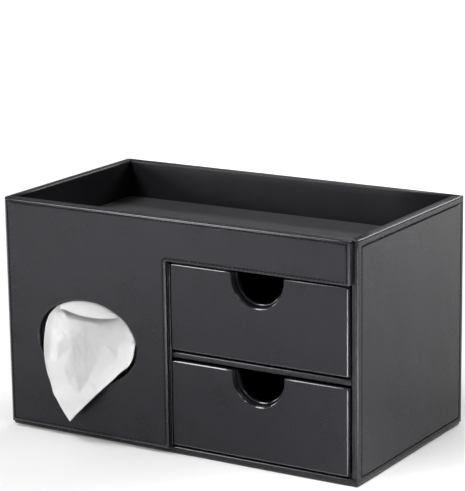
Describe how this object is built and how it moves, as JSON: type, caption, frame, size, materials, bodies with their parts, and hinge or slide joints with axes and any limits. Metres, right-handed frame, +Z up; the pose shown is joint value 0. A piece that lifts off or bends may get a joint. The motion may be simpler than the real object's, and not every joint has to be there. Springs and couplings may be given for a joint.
{
  "type": "tissue box with drawers",
  "caption": "Leather-wrapped desk box: tissue compartment with an oval front opening, stacked drawers with finger notches, an open tray on top and a hinged loading flap behind.",
  "frame": {"origin": "middle of the carcass footprint, on the underside it stands on", "axes": "+X to the right seen from the front, +Y from front to back, +Z up"},
  "size_m": [0.3, 0.1754, 0.177],
  "materials": {
    "leather_black": "satin fine-grain imitation leather",
    "wrapped_board": "satin, fibreboard wrapped in imitation leather",
    "lining_black": "matte imitation leather lining",
    "flannel": "matte short-nap flannel",
    "felt_dark": "matte non-slip felt",
    "magnet_steel": "satin",
    "ribbon_black": "matte woven ribbon",
    "tissue_white": "matte soft tissue"
  },
  "bodies": {
    "case": {"underside_felt": "felt_dark", "base_board": "wrapped_board", "left_wall_board": "wrapped_board", "right_wall_board": "wrapped_board", "back_board": "wrapped_board", "partition_board": "wrapped_board", "drawer_shelf": "wrapped_board", "tray_floor_board": "wrapped_board", "front_board": "wrapped_board", "front_panel_board": "wrapped_board", "flap_stop_strip": "wrapped_board", "front_panel_cover": "leather_black", "left_side_cover": "leather_black", "right_side_cover": "leather_black", "back_cover": "leather_black", "flap_hinge_leather": "leather_black", "tray_lining_front": "lining_black", "tray_lining_back": "lining_black", "tray_lining_left": "lining_black", "tray_lining_right": "lining_black", "tray_mat": "flannel", "stop_magnets": "magnet_steel", "tissue_pack": "tissue_white", "tissue_sheet": "tissue_white"},
    "upper_drawer": {"upper_drawer_face_board": "wrapped_board", "upper_drawer_face_cover": "leather_black", "upper_drawer_box_front": "wrapped_board", "upper_drawer_box_left": "wrapped_board", "upper_drawer_box_right": "wrapped_board", "upper_drawer_box_back": "wrapped_board", "upper_drawer_box_bottom": "wrapped_board", "upper_drawer_box_mat": "flannel"},
    "lower_drawer": {"lower_drawer_face_board": "wrapped_board", "lower_drawer_face_cover": "leather_black", "lower_drawer_box_front": "wrapped_board", "lower_drawer_box_left": "wrapped_board", "lower_drawer_box_right": "wrapped_board", "lower_drawer_box_back": "wrapped_board", "lower_drawer_box_bottom": "wrapped_board", "lower_drawer_box_mat": "flannel"},
    "rear_flap": {"flap_board": "wrapped_board", "flap_cover": "leather_black", "flap_magnets": "magnet_steel", "flap_pull_tab": "ribbon_black"}
  },
  "joints": [
    {"name": "upper_drawer_slide", "type": "slide", "parent": "case", "child": "upper_drawer", "axis": [0, -1, 0], "range_m": [0, 0.12]},
    {"name": "lower_drawer_slide", "type": "slide", "parent": "case", "child": "lower_drawer", "axis": [0, -1, 0], "range_m": [0, 0.12]},
    {"name": "rear_flap_hinge", "type": "hinge", "parent": "case", "child": "rear_flap", "pos_m": [-0.0765, 0.0825, 0.134], "axis": [1, 0, 0], "range_deg": [0, 110]}
  ]
}
